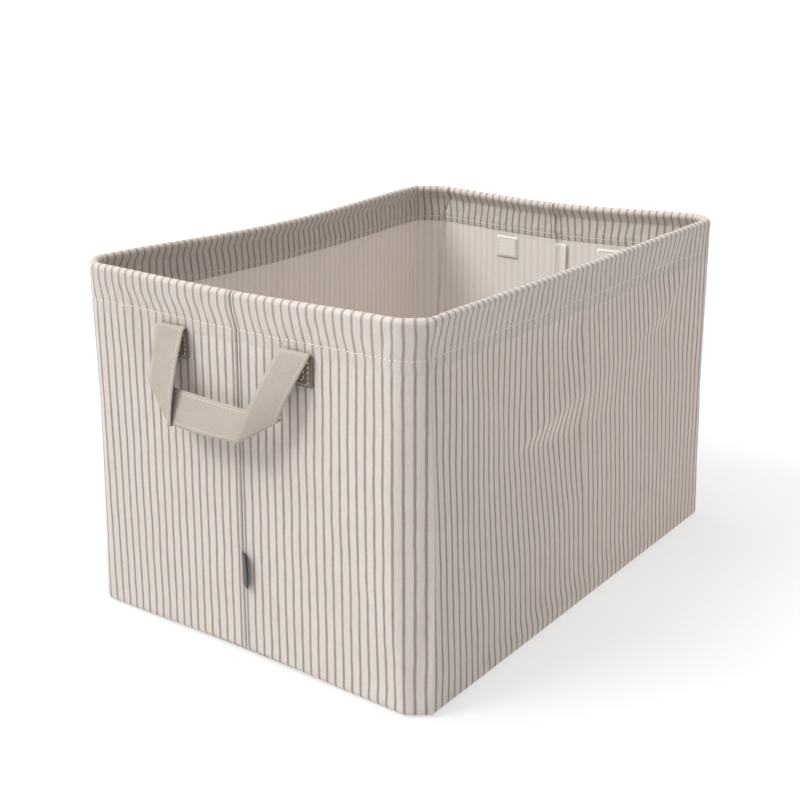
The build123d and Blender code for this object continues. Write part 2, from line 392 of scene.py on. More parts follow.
def make_object(name, points, faces, body, slot, materials, uv=None, index=None, plies_and_shade=None):
    """A piece from points in mm, smooth shaded, riding on a body; the slot is not used."""
    mesh = bpy.data.meshes.new(name)
    points = np.asarray(points, float).reshape(-1, 3) * MM
    mesh.from_pydata([tuple(p) for p in points], [], [tuple(int(i) for i in f) for f in faces])
    for m in materials:
        mesh.materials.append(m)
    if index is not None:
        mesh.polygons.foreach_set("material_index", np.asarray(index, np.int32))
    if uv is not None:
        layer = mesh.uv_layers.new(name="Cloth")
        loops = np.zeros(len(mesh.loops), np.int32)
        mesh.loops.foreach_get("vertex_index", loops)
        layer.data.foreach_set("uv", (np.asarray(uv, float).reshape(-1, 2) * MM)[loops].ravel())
    if plies_and_shade is not None:
        layer = mesh.attributes.new("layers_and_shade", "FLOAT", "POINT")
        layer.data.foreach_set("value", np.asarray(plies_and_shade, np.float32).ravel())
    mesh.polygons.foreach_set("use_smooth", np.ones(len(mesh.polygons), bool))
    mesh.validate()
    mesh.update()
    piece = bpy.data.objects.new(name, mesh)
    bpy.context.scene.collection.objects.link(piece)
    if body:
        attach(piece, body)
    return piece


def tube_faces(count, sides):
    """Faces of a closed tube of count rings, each of them this many points."""
    ring, k = np.meshgrid(np.arange(count - 1), np.arange(sides), indexing="ij")
    a, b = ring * sides + k, ring * sides + (k + 1) % sides
    quads = np.stack([a, a + sides, b + sides, b], -1).reshape(-1, 4)
    last = (count - 1) * sides
    caps = [tuple(range(sides)), tuple(range(last, last + sides))[::-1]]
    return [tuple(f) for f in quads] + caps


def slab(top, bottom, across, along):
    """A closed sheet between two grids of points, shaped (m, n, 3): its points, faces and UVs."""
    m, n = top.shape[:2]
    points = np.concatenate([top.reshape(-1, 3), bottom.reshape(-1, 3)])
    i, j = np.meshgrid(np.arange(m - 1), np.arange(n - 1), indexing="ij")
    a = (i * n + j).ravel()
    b, c, d = a + 1, a + n + 1, a + n
    k = m * n
    faces = [np.stack([a, b, c, d], 1), np.stack([a + k, d + k, c + k, b + k], 1)]
    grid = np.arange(k).reshape(m, n)
    rim = np.concatenate([grid[0], grid[1:, -1], grid[-1, -2::-1], grid[-2:0:-1, 0]])
    nxt = np.roll(rim, -1)
    faces.append(np.stack([rim, rim + k, nxt + k, nxt], 1))
    uv = np.stack(np.broadcast_arrays(across, along), -1).reshape(-1, 2)
    return points, np.concatenate(faces), np.concatenate([uv, uv])


def wall_rows():
    """The section of a wall, from the floor up outside, round the wire and down inside.

    Returns each row's inset, height, cloth plies (which also set the row's painted shade) and
    length along the cloth, and the row where the hem ends.
    """

    def arc(middle, height, radius, turns, layers_and_shade):
        return [
            (middle + radius * cos(radians(turn)), height + radius * sin(radians(turn)), layers_and_shade)
            for turn in np.linspace(*turns)
        ]

    rows = arc(FLOOR_EDGE, FLOOR_EDGE, FLOOR_EDGE, (270, 180, 6), 0)
    rows += [(0, z, 0) for z in np.arange(8, HEM_BOTTOM, 3.0)]
    rows += [(0, z, 1) for z in np.arange(HEM_BOTTOM, WIRE_HEIGHT - 1, 2.0)]
    slant = 33.0
    rows += arc(RIM_RADIUS, WIRE_HEIGHT, RIM_RADIUS, (180, -slant, 15), 1)
    # The inner leaf leaves the roll, lies flat under the stitches and ends at the hem's foot.
    leave = rows[-1]
    foot = WIRE_HEIGHT - RIM_RADIUS * sin(radians(slant)) - 7.6
    for t in (0.33, 0.66, 1.0):
        inset = leave[0] + (2 * FABRIC - leave[0]) * t
        rows.append((inset, leave[1] + (foot - leave[1]) * t, 1))
    for z in np.arange(foot - 2, 263.5, -2.0):
        rows.append((2 * FABRIC - 0.45 * smooth((269 - z) / 6), z, 0.35))
    rows += [(1.5, 263.0, 0.3), (1.3, 262.3, 0.3), (1.08, 261.9, 0.3), (FABRIC, 261.7, 0.3)]
    hem_end = len(rows)
    rows += [(FABRIC, z, 0) for z in (261.2, 260.4, *np.arange(259, 7, -3.0))]
    rows += arc(FLOOR_EDGE, FLOOR_EDGE, FLOOR_EDGE - FABRIC, (180, 270, 5), 0)
    table = np.array(rows, float)
    run = np.concatenate([[0], np.cumsum(np.hypot(*np.diff(table[:, :2], axis=0).T))])
    return table[:, 0], table[:, 1], table[:, 2], run, hem_end


def panel_columns():
    """Cloth positions from a seam to the middle of a side, finer at the seam and the corner."""
    fine = [0.12, 0.25, 0.6, 1.0, 1.5, 2.2]
    end, corner = np.linspace(4.0, 128.0, 50)[:-1], np.linspace(128.0, 192.0, 52)[:-1]
    return np.concatenate([fine, end, corner, np.linspace(192.0, QUARTER, 88)])


def build_panel(name, front, back, materials):
    inset, z, layers_and_shade, run, hem_end = wall_rows()
    columns = panel_columns()
    points, uv = [], []
    for quarter, s in ((front, columns), (back, columns[::-1][1:])):
        ss, zz = np.meshgrid(s, z, indexing="ij")
        level = np.minimum(zz, WIRE_HEIGHT)
        placed = quarter.place(ss, level, inset)
        placed[..., 2] += zz - level
        points.append(placed)
        shift = stripe_shift(quarter, ss, zz)
        side = ss + shift if quarter is front else 2 * QUARTER - ss - shift
        uv.append(np.stack([side, np.broadcast_to(run, ss.shape)], -1))
    points, uv = np.concatenate(points), np.concatenate(uv)
    count, rows = points.shape[:2]
    faces = tube_faces(count, rows)
    if front.across < 0:
        faces = [f[::-1] for f in faces]
    row = np.tile(np.arange(rows), count - 1)
    lined = (row >= hem_end - 1) & (row < rows - 1)
    index = np.append(lined, [False, False])
    # The seams hold more layers still, and the shadow in their groove is painted in as a dark line.
    seam = np.concatenate([columns, columns[::-1][1:]]) < SEAM_HALF
    plies_and_shade = np.maximum(layers_and_shade[None, :], SEAM_LAYERS_AND_SHADE * seam[:, None])
    return make_object(name, points, faces, "tub", "canvas", materials, uv, index, plies_and_shade)


def build_flap(name, end, materials):
    """The seam allowance: the left panel's edge, pressed flat inside the right panel."""
    quarter = ENDS[end][1]
    s = np.array([0.2, 1.5, 4.0, 8.0, 11.0, 12.4, 12.8])
    over = np.array([0.2, 0.9, 1.0, 1.3, 2.1, 2.7, 2.9])
    under = np.array([0.0, 0.0, 0.1, 0.4, 1.2, 1.8, 2.3])
    ss, zz = np.meshgrid(s, np.arange(6.0, HEM_BOTTOM, 4.0), indexing="ij")
    wave = 0.25 * np.sin(zz / 19.0) + 0.15 * np.sin(zz / 7.3 + 1)
    wave = wave * smooth((ss - 3) / 8)
    inner = quarter.place(ss, zz, 1.0 + over[:, None] + wave)
    outer = quarter.place(ss, zz, 0.9 + under[:, None] + wave)
    points, faces, uv = slab(inner, outer, -ss, zz)
    return make_object(name, points, faces, "tub", "canvas", materials, uv)


def build_threads(name, starts, ends, normals, width, height, slot, material):
    """Stitches: each a small rounded lozenge lying on the cloth from start to end."""
    across = np.cross(ends - starts, normals)
    across /= np.maximum(np.linalg.norm(across, axis=1, keepdims=True), 1e-9)
    stations = ((0.0, 0.35), (0.2, 0.9), (0.5, 1.0), (0.8, 0.9), (1.0, 0.35))
    sides = 6
    rings = []
    for t, fat in stations:
        centre = starts + (ends - starts) * t
        sink = height * (0.45 * sin(pi * t) - 0.15)
        for k in range(sides):
            turn = 2 * pi * k / sides
            rings.append(
                centre
                + across * (width / 2 * fat * cos(turn))
                + normals * (height / 2 * fat * sin(turn) + sink)
            )
    one = []
    for r in range(len(stations) - 1):
        for k in range(sides):
            a, b = r * sides + k, r * sides + (k + 1) % sides
            one.append((a, b, b + sides, a + sides))
    n = len(rings)
    one += [tuple(range(sides))[::-1], tuple(range(n - sides, n))]
    faces = [tuple(v + i * n for v in f) for i in range(len(starts)) for f in one]
    points = np.stack(rings, 1)
    return make_object(name, points, faces, "tub", slot, [material])


def stitch_line(quarter, z, inset, first=3.0, pitch=4.2, length=2.9):
    """Starts, ends and normals of the stitches along a quarter of the hem."""
    count = int((QUARTER - first) / pitch)
    s = first + (np.arange(count) + 0.5) * (QUARTER - first) / count
    jitter = rng.uniform(-0.25, 0.25, count)
    tilt = rng.uniform(-0.22, 0.22, count)
    a = quarter.place(s - length / 2, z + jitter - tilt, inset)
    b = quarter.place(s + length / 2, z + jitter + tilt, inset)
    _, normal = quarter.place(s, z, inset, with_normal=True)
    return a, b, normal


def build_hem_stitches(material):
    for name, z, inset, sign in (
        ("hem_stitches_outside", STITCH_HEIGHT, -0.02, 1),
        ("hem_stitches_inside", INNER_STITCH_HEIGHT, 1.9, -1),
    ):
        found = [stitch_line(q, z, inset) for end in ENDS.values() for q in end]
        a, b, n = (np.concatenate(f) for f in zip(*found))
        build_threads(name, a, b, sign * n, 0.75, 0.6, "canvas", material)


def build_seam_stitches(material):
    """Short threads that show between the two panels along each end seam."""
    z = np.arange(9.0, 292.0, 5.2)
    found = []
    for _, quarter in ENDS.values():
        start, normal = quarter.place(0 * z, z, -0.7, with_normal=True)
        found.append((start, quarter.place(0 * z, z + 1.7, -0.7), normal))
    a, b, n = (np.concatenate(f) for f in zip(*found))
    build_threads("seam_stitches", a, b, n, 0.5, 0.4, "canvas", material)


# ---------------- rim wire and base


def tube(path, radius, sides=14):
    """Points and faces of a closed round rod along a path in mm."""
    path = np.asarray(path, float)
    along = np.gradient(path, axis=0)
    along /= np.linalg.norm(along, axis=1, keepdims=True)
    up = np.array([0.0, 0.0, 1.0])
    side = np.cross(along, up)
    side /= np.linalg.norm(side, axis=1, keepdims=True)
    over = np.cross(side, along)
    turn = np.linspace(0, 2 * pi, sides, endpoint=False)
    ring = (
        path[:, None]
        + side[:, None] * (radius * np.cos(turn))[None, :, None]
        + over[:, None] * (radius * np.sin(turn))[None, :, None]
    )
    return ring, tube_faces(len(path), sides)


def rim_path(quarter, s):
    return quarter.place(s, np.full(len(s), WIRE_HEIGHT), RIM_RADIUS)


def build_wires(steel, crimp):
    for side, (front, back) in SIDES.items():
        s = np.concatenate([[0.6, 2.0], np.linspace(5, QUARTER, 90)])
        path = np.concatenate([rim_path(front, s), rim_path(back, s[::-1][1:])])
        wire = make_object(f"wire_{side}", *tube(path, WIRE_RADIUS), "tub", "wire", [steel])
        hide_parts(f"rim_wire_{side}")
    for end, (left, right) in ENDS.items():
        s = np.linspace(0, 20, 9)
        path = np.concatenate([rim_path(left, s[::-1]), rim_path(right, s[1:])])
        sleeve = make_object(
            f"crimp_{end}", *tube(path, SLEEVE_RADIUS), "tub", "sleeve", [crimp]
        )
        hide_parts(f"wire_sleeve_{end}")


def base_loop(inset, count=44):
    """The floor outline that far inside the walls, as points round the tub."""
    loops = []
    s = np.linspace(0, QUARTER, count)
    for quarter in (front_right, back_right, back_left, front_left):
        order = -quarter.across * quarter.along
        loops.append(quarter.place(s, 0 * s + 3.0, inset)[::order][:-1])
    return np.concatenate(loops)


def base_grid(inset, rings, heights):
    """Rings from the outline inward to the middle, at these heights."""
    edge = base_loop(inset)[:, :2]
    half = np.abs(edge).max(0)
    grid = []
    for ring, height in zip(rings, heights):
        xy = edge * ((half - ring) / half)
        grid.append(np.concatenate([xy, np.full((len(xy), 1), height)], 1))
    return np.array(grid)


def build_disc(name, inset, top, bottom, slot, material, pillow=0.0):
    """A closed sheet with rounded edges over the floor, from the edge to the middle."""
    rings = [0, 0.4, 2, 5, 9, 12, 20, 40, 70, 100, 130, 155, 166]
    full = [0.5, 0.85] + [1.0] * (len(rings) - 2)
    upper = base_grid(inset, rings, [bottom + (top - bottom) * k for k in full])
    lower = base_grid(inset, rings, [bottom] * len(rings))
    ripple = slow_ripple(upper[..., 0] * 1.3, upper[..., 1] * 1.3)
    ring = np.array(rings)[:, None]
    upper[..., 2] += pillow * ripple * smooth((ring - 12) / 30)
    upper[..., 2] -= abs(pillow) * 0.8 * bell(ring - 9, 2.0)
    m, n = upper.shape[:2]
    points = np.concatenate([upper.reshape(-1, 3), lower.reshape(-1, 3)])
    under = m * n
    faces = []
    for k in range(m - 1):
        for j in range(n):
            a, b = k * n + j, k * n + (j + 1) % n
            faces.append((a, b, b + n, a + n))
            faces.append((a + under, a + n + under, b + n + under, b + under))
    for j in range(n):
        a, b = j, (j + 1) % n
        faces.append((b, a, a + under, b + under))
    faces.append(tuple(range(under - n, under)))
    faces.append(tuple(range(2 * under - n, 2 * under))[::-1])
    uv = points[:, :2] + np.array([400.0, 400.0])
    return make_object(name, points, faces, "tub", slot, [material], uv)


# ---------------- webbing


def ribbon(name, grid, material):
    """A closed band of webbing round a grid of middle points, shaped (length, width, 3)."""
    normal = np.cross(np.gradient(grid, axis=0), np.gradient(grid, axis=1))
    normal /= np.maximum(np.linalg.norm(normal, axis=2, keepdims=True), 1e-9)
    n = grid.shape[1]
    place = np.linspace(-1, 1, n)
    thin = STRAP_THICKNESS / 2 * np.where(np.abs(place) > 0.99, 0.55, 1.0)[None, :, None]
    steps = np.linalg.norm(np.diff(grid[:, n // 2], axis=0), axis=1)
    run = np.concatenate([[0], np.cumsum(steps)])
    across = np.linspace(-STRAP_WIDTH / 2, STRAP_WIDTH / 2, n)
    points, faces, uv = slab(grid + normal * thin, grid - normal * thin, across, run[:, None])
    return make_object(name, points, faces, None, "webbing", [material], uv)


# The strap's outer and inner edge: (x, z) at the top fold and at the diagonal crease, and how far
# each edge stands off the wall at the fold, half way and at the crease.
STRAP_LEFT = {
    "top": ((-78.5, 262.0), (-48.5, 262.0)), "crease": ((-81.0, 218.0), (-48.5, 189.0)),
    "off": ((6.2, 10.5, 14.0), (5.6, 18.0, 24.5)),
}
STRAP_RIGHT = {
    "top": ((76.0, 262.5), (46.0, 262.0)), "crease": ((54.5, 213.0), (17.0, 189.5)),
    "off": ((5.6, 12.5, 15.5), (6.6, 19.0, 25.0)),
}
GRIP_BACK = 2.5
SEWN_ROWS = 11


def arm_rows(side, wall_y, face, count=14):
    """One half of the strap, from its sewn end over the fold and down to the diagonal crease.

    face is how far out the wall stands where the strap is sewn on. Returns rows of points across
    the strap, outer edge first, then the crease's rows and the grip's first row.
    """
    t = np.linspace(0, 1, 11)[:, None]
    top, end, off = (
        outer + (inner - outer) * t
        for outer, inner in (np.array(side[key]) for key in ("top", "crease", "off"))
    )
    x_top = top[:, 0]
    rows = []
    for z in np.linspace(SEWN_BOTTOM, 259.5, 8):
        rows.append(np.stack([x_top, wall_y(x_top, z) - 1.1, 0 * x_top + z], 1))
    near, far = wall_y(x_top, 259.0) - 1.1, -face - off[:, 0]
    for turn in np.linspace(20, 160, 6):
        z = SEWN_TOP + 2.6 * sin(radians(turn))
        y = near + (far - near) * (1 - cos(radians(turn))) / 2
        rows.append(np.stack([x_top, y, 0 * x_top + z], 1))
    for k in np.linspace(0.04, 1, count):
        x = x_top + (end[:, 0] - x_top) * k
        z = SEWN_TOP + (end[:, 1] - SEWN_TOP) * k
        # A parabola through the three distances.
        out = (
            off[:, 0] * (1 - k) * (1 - 2 * k) + off[:, 1] * 4 * k * (1 - k)
            + off[:, 2] * k * (2 * k - 1)
        )
        rows.append(np.stack([x, -face - out, z], 1))
    crease = rows[-1]
    direction = crease[-1] - crease[0]
    away = np.array([direction[2], 0.0, -direction[0]])
    away /= np.linalg.norm(away)
    if away[2] > 0:
        away = -away
    half_gap = GRIP_BACK / 2
    turns = []
    for turn in np.linspace(25, 155, 5):
        shift = away * half_gap * 0.8 * sin(radians(turn))
        back = np.array([0.0, half_gap * (1 - cos(radians(turn))), 0.0])
        turns.append(crease + shift + back)
    return rows, turns, crease + np.array([0.0, GRIP_BACK, 0.0])


def build_strap(end, material, shaded):
    """A handle's whole band, made as the front one; the back one is turned half round."""
    sign = 1 if end == "back" else -1
    quarters = ENDS[end]

    def wall_y(x, z):
        """The wall's y in the front strap's own place, at each x."""
        found = []
        for v in -sign * np.asarray(x, float):
            quarter = quarters[1] if v > 0 else quarters[0]
            found.append(quarter.place(abs(float(v)), float(z), 0.0)[1])
        return -sign * np.array(found)

    face = float(np.max(np.abs(wall_y(np.array([-PATCH_MIDDLE, PATCH_MIDDLE]), 259.0))))
    left, left_turn, left_grip = arm_rows(STRAP_LEFT, wall_y, face)
    right, right_turn, right_grip = arm_rows(STRAP_RIGHT, wall_y, face)
    bridge = []
    for k in np.linspace(0.0, 1.0, 18)[1:-1]:
        row = left_grip + (right_grip - left_grip) * k
        bridge.append(row + np.array([0.0, -1.2 * sin(pi * k), -0.8 * sin(pi * k)]))
    rows = left + left_turn + [left_grip] + bridge + [right_grip]
    rows += right_turn[::-1] + right[::-1]
    grid = np.array(rows) * np.array([-sign, -sign, 1.0])
    strap = ribbon(f"{end}_strap", grid, material)
    # The sewn ends are painted a darker brown than the part that hangs free: painted shade for the
    # strap's shadow over them.
    strap.data.materials.append(shaded)
    count, width = grid.shape[:2]
    for polygon in strap.data.polygons:
        along = [v % (count * width) // width for v in polygon.vertices]
        if max(along) < SEWN_ROWS or min(along) > count - 1 - SEWN_ROWS:
            polygon.material_index = 1
    subdivide(strap, 1)
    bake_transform(strap)
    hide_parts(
        f"{end}_handle_loop", f"{end}_sewn_end_left", f"{end}_sewn_end_right"
    )
    return strap, wall_y


def subdivide(piece, levels):
    """Smooth a piece and keep the result as its mesh."""
    modifier = piece.modifiers.new("round", "SUBSURF")
    modifier.levels = modifier.render_levels = levels
    modifier.boundary_smooth = "PRESERVE_CORNERS"
    depsgraph = bpy.context.evaluated_depsgraph_get()
    mesh = bpy.data.meshes.new_from_object(piece.evaluated_get(depsgraph))
    old = piece.data
    piece.modifiers.clear()
    piece.data = mesh
    mesh.name = old.name
    bpy.data.meshes.remove(old)
    mesh.name = piece.name


def box_line(middle, low, high, half, pitch, length):
    """Starts and ends, in 2-D, of the stitches round a box from low to high."""
    starts, ends = [], []
    left, right = middle - half, middle + half
    corners = np.array([(left, low), (right, low), (right, high), (left, high)], float)
    for a, b in zip(corners, np.roll(corners, -1, 0)):
        run = np.linalg.norm(b - a)
        count = max(2, int(run / pitch))
        for k in range(count):
            mid = a + (b - a) * (k + 0.5) / count
            step = (b - a) / run * length / 2
            starts.append(mid - step)
            ends.append(mid + step)
    return np.array(starts), np.array(ends)


def build_sewn_stitches(end, wall_y, material):
    """Two boxes of stitches, one within the other, on each sewn end."""
    found = []
    for middle in SEWN_MIDDLES:
        for low, high, half in ((239.0, 257.5, 11.5), (242.5, 254.0, 7.5)):
            found.append(box_line(middle, low, high, half, 3.4, 2.4))
    turn = np.array([-1.0, -1.0, 1.0]) if end == "back" else np.ones(3)
    lines = []
    for points in (np.concatenate(f) for f in zip(*found)):
        y = np.array([wall_y(np.array([x]), z)[0] for x, z in points]) - 2.1
        lines.append(np.stack([points[:, 0], y, points[:, 1]], 1) * turn)
    normal = np.tile(np.array([0.0, -1.0, 0.0]) * turn, (len(lines[0]), 1))
    build_threads(f"{end}_sewn_stitches", *lines, normal, 0.8, 0.5, "webbing", material)


def build_patch(end, side, webbing, thread):
    """A square of webbing inside, behind a sewn end, with its box of stitches."""
    quarter = ENDS[end][0 if side == "left" else 1]
    near, far = PATCH_MIDDLE - PATCH_HALF, PATCH_MIDDLE + PATCH_HALF
    ss, zz = np.meshgrid(
        np.linspace(near, far, 12), np.linspace(PATCH_BOTTOM, PATCH_TOP, 10), indexing="ij"
    )
    depth = 1.0 + 0.12 * np.sin(ss / 3.1) * np.cos(zz / 4.3)
    corner = window(ss, near + 1, far - 1, 0.9) * window(zz, PATCH_BOTTOM + 1, PATCH_TOP - 1, 0.9)
    inner = quarter.place(ss, zz, 1.05 + depth * (0.45 + 0.55 * corner))
    outer = quarter.place(ss, zz, 0.95)
    points, faces, uv = slab(inner, outer, ss - PATCH_MIDDLE, zz)
    piece = make_object(f"{end}_{side}_backing", points, faces, "tub", "webbing", [webbing], uv)
    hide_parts(f"{end}_patch_{side}")
    margin = 2.5
    a, b = box_line(
        PATCH_MIDDLE, PATCH_BOTTOM + margin, PATCH_TOP - margin, PATCH_HALF - margin, 3.2, 2.2
    )
    start, normal = quarter.place(*a.T, 2.15, with_normal=True)
    build_threads(
        f"{end}_{side}_backing_stitches", start, quarter.place(*b.T, 2.15), -normal,
        0.8, 0.5, "webbing", thread,
    )
    return piece


def build_label(material):
    """Folded woven tape in the front seam: two leaves, joined at the outer fold."""
    root = front_right.place(2.4, 75.0)
    lean = radians(LABEL_LEAN)
    # Half the label's thickness at these distances from the seam
    leaf = [(0.0, 0.40), (2.5, 0.55), (5.0, 0.68), (7.5, 0.70), (9.2, 0.62), (9.9, 0.36)]
    skin = 0.3
    outer = leaf + [(10.1, 0.0)] + [(d, -w) for d, w in leaf[::-1]]
    inner = [(min(d, 9.75), w - skin) for d, w in leaf]
    inner += [(d, -w) for d, w in inner[::-1]]
    ring = outer + inner[::-1]
    heights = np.linspace(LABEL_BOTTOM, LABEL_TOP, 12)
    points = []
    for height in heights:
        up = (height - LABEL_BOTTOM) / (LABEL_TOP - LABEL_BOTTOM)
        curl = 0.5 * sin(up * pi)
        out = 1.4 * sin(up * 1.4)
        for d, w in ring:
            x = d * cos(lean) + w * sin(lean) + curl * (d / 10) ** 2
            y = -d * sin(lean) * 0.9 + w * cos(lean) - out * (d / 10) ** 2
            points.append((x - 0.1, root[1] + 0.2 + y, height))
    faces = tube_faces(len(heights), len(ring))
    uv = [(d, h) for h in heights for d, _ in ring]
    label = make_object("woven_label", points, faces, "label", "label", [material], uv)
    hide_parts("side_label")
    return label


# ---------------- materials


class Nodes:
    """A small writer for one material's nodes."""

    def __init__(self, name):
        self.material = bpy.data.materials.new(name)
        self.material.use_nodes = True
        self.tree = self.material.node_tree
        self.tree.nodes.clear()

    def new(self, kind, inputs=None, **settings):
        node = self.tree.nodes.new(kind)
        for key, value in settings.items():
            setattr(node, key, value)
        for key, value in (inputs or {}).items():
            if isinstance(value, bpy.types.NodeSocket):
                self.tree.links.new(value, node.inputs[key])
            else:
                node.inputs[key].default_value = value
        return node

    def math(self, operation, *values):
        return self.new("ShaderNodeMath", dict(enumerate(values)), operation=operation).outputs[0]

    def plus(self, total, value, gain):
        return self.math("ADD", total, self.math("MULTIPLY", value, gain))

    def ramp(self, value, low, high, to_low=0.0, to_high=1.0, kind="SMOOTHSTEP"):
        ends = {"From Min": low, "From Max": high, "To Min": to_low, "To Max": to_high}
        node = self.new("ShaderNodeMapRange", {"Value": value, **ends}, interpolation_type=kind)
        return node.outputs["Result"]

    def mix(self, factor, a, b, blend="MIX"):
        inputs = {0: factor, 6: a, 7: b}
        return self.new("ShaderNodeMix", inputs, data_type="RGBA", blend_type=blend).outputs[2]

    def two_tone(self, value, light, dark, low=0.3, high=0.7):
        """From a light to a dark sRGB colour as value rises from low to high."""
        return self.mix(self.ramp(value, low, high), colour(*light), colour(*dark))

    def noise(self, vector, scale, detail, roughness):
        inputs = {"Vector": vector, "Scale": scale, "Detail": detail, "Roughness": roughness}
        return self.new("ShaderNodeTexNoise", inputs).outputs["Fac"]

    def scaled(self, vector, *by):
        inputs = {0: vector, 1: by}
        return self.new("ShaderNodeVectorMath", inputs, operation="MULTIPLY").outputs[0]

    def cloth(self):
        """Work in the cloth's own coordinates in mm, and return them: across and along."""
        uv = self.new("ShaderNodeUVMap", uv_map="Cloth").outputs[0]
        self.vector = self.scaled(uv, 1000.0, 1000.0, 1000.0)
        split = self.new("ShaderNodeSeparateXYZ", {0: self.vector})
        return split.outputs[0], split.outputs[1]

    def streaks(self, x, y, detail, roughness=0.5):
        """Noise on the cloth, with this many grains per mm across and along."""
        return self.noise(self.scaled(self.vector, x, y, 1.0), 1.0, detail, roughness)

    def grain(self, scale, detail, roughness=0.5):
        """Noise in the piece's own space."""
        place = self.new("ShaderNodeTexCoord").outputs["Object"]
        return self.noise(place, scale, detail, roughness)

    def bump(self, height, strength, distance):
        inputs = {"Height": height, "Strength": strength, "Distance": distance}
        return self.new("ShaderNodeBump", inputs).outputs[0]

    def skin(self, base, rough, more):
        inputs = {"Base Color": base, "Roughness": rough, **more}
        return self.new("ShaderNodeBsdfPrincipled", inputs).outputs[0]

    def lit_through(self, skin, tint, normal, share):
        """The skin with this share of light let through from behind."""
        glow = self.new("ShaderNodeBsdfTranslucent", {"Color": tint, "Normal": normal})
        inputs = {0: share, 1: skin, 2: glow.outputs[0]}
        return self.new("ShaderNodeMixShader", inputs).outputs[0]

    def finish(self, shader):
        self.new("ShaderNodeOutputMaterial", {"Surface": shader})
        return self.material


def colour(r, g, b):
    """Linear colour from sRGB values of 0 to 255."""
    out = []
    for c in (r, g, b):
        c = c / 255
        out.append(c / 12.92 if c <= 0.04045 else ((c + 0.055) / 1.055) ** 2.4)
    return (*out, 1.0)


def weave_height(n, x, y, pitch):
    """A plain weave: threads over and under, in mm."""
    a = n.math("SINE", n.math("MULTIPLY", x, 2 * pi / pitch))
    b = n.math("SINE", n.math("MULTIPLY", y, 2 * pi / pitch))
    return n.math("MULTIPLY", a, b)


def stripe_mask(n, x, half, soft):
    """1 in the middle of a stripe, 0 in the ground between."""
    shift = n.math("SUBTRACT", n.math("ADD", *(
        n.math("MULTIPLY", n.math("SUBTRACT", uneven, 0.5), 0.9)
        for uneven in (n.streaks(0.25, 0.06, 2.0), n.streaks(1.2, 0.5, 3.0, 0.7))
    )), STRIPE_PHASE)
    place = n.math("DIVIDE", n.math("ADD", x, shift), STRIPE_PITCH)
    from_middle = n.math("MULTIPLY", n.math("PINGPONG", place, 0.5), STRIPE_PITCH)
    return n.ramp(from_middle, half - soft, half + soft, 1.0, 0.0)


def canvas_material():
    n = Nodes("striped_canvas")
    x, y = n.cloth()
    mask = stripe_mask(n, x, 1.1, 0.5)
    slub, weft = n.streaks(2.2, 0.08, 3.0, 0.6), n.streaks(0.07, 1.8, 2.0, 0.6)
    cloud = n.streaks(0.02, 0.02, 3.0)
    ground = n.two_tone(slub, (230, 227, 221), (219, 215, 208), 0.35)
    stripe = n.two_tone(slub, (166, 156, 149), (149, 140, 133))
    base = n.mix(n.math("MULTIPLY", mask, 0.93), ground, stripe)
    base = n.mix(n.ramp(weft, 0.45, 0.8, 0.0, 0.22), base, colour(200, 191, 183))
    base = n.mix(n.ramp(cloud, 0.35, 0.75, 0.0, 0.12), base, colour(208, 197, 188))
    layers_and_shade = n.new("ShaderNodeAttribute", attribute_name="layers_and_shade").outputs["Fac"]
    # Painted shade: where there are more layers (the hem, and the seams drawn darkest) the colour
    # is darkened for the light the doubled cloth holds back and the seam groove's shadow; the share
    # of light let through below is really cut by the same layers.
    base = n.mix(n.math("MULTIPLY", layers_and_shade, 0.35), base, colour(150, 126, 117))
    height = n.plus(n.plus(weave_height(n, x, y, WEAVE_PITCH), slub, 1.4), mask, 0.35)
    bump = n.bump(height, 0.35, 0.00010)
    skin = n.skin(base, n.ramp(slub, 0.2, 0.8, 0.78, 0.92), {
        "Normal": bump, "Specular IOR Level": 0.25, "Sheen Weight": 0.12, "Sheen Roughness": 0.5,
    })
    through = n.mix(1.0, base, colour(250, 216, 209), "MULTIPLY")
    share = n.ramp(layers_and_shade, 0.0, 1.0, 0.32, 0.08, "LINEAR")
    return n.finish(n.lit_through(skin, through, bump, share))


def lining_material(name="coated_inside", faint=0.16):
    """The canvas's coated back: pale, slightly shiny, with the stripes showing through faintly."""
    n = Nodes(name)
    x, y = n.cloth()
    mask = stripe_mask(n, x, 1.5, 0.9)
    slub, cloud = n.streaks(1.5, 0.1, 3.0), n.streaks(0.03, 0.03, 3.0)
    ground = n.two_tone(slub, (246, 243, 239), (240, 236, 231))
    base = n.mix(n.math("MULTIPLY", mask, faint), ground, colour(190, 180, 172))
    base = n.mix(n.ramp(cloud, 0.4, 0.8, 0.0, 0.12), base, colour(226, 219, 212))
    bump = n.bump(n.plus(weave_height(n, x, y, WEAVE_PITCH), slub, 1.2), 0.2, 0.00008)
    rough = n.ramp(cloud, 0.3, 0.7, 0.42, 0.56)
    skin = n.skin(base, rough, {"Normal": bump, "Specular IOR Level": 0.4})
    return n.finish(n.lit_through(skin, base, bump, 0.3))


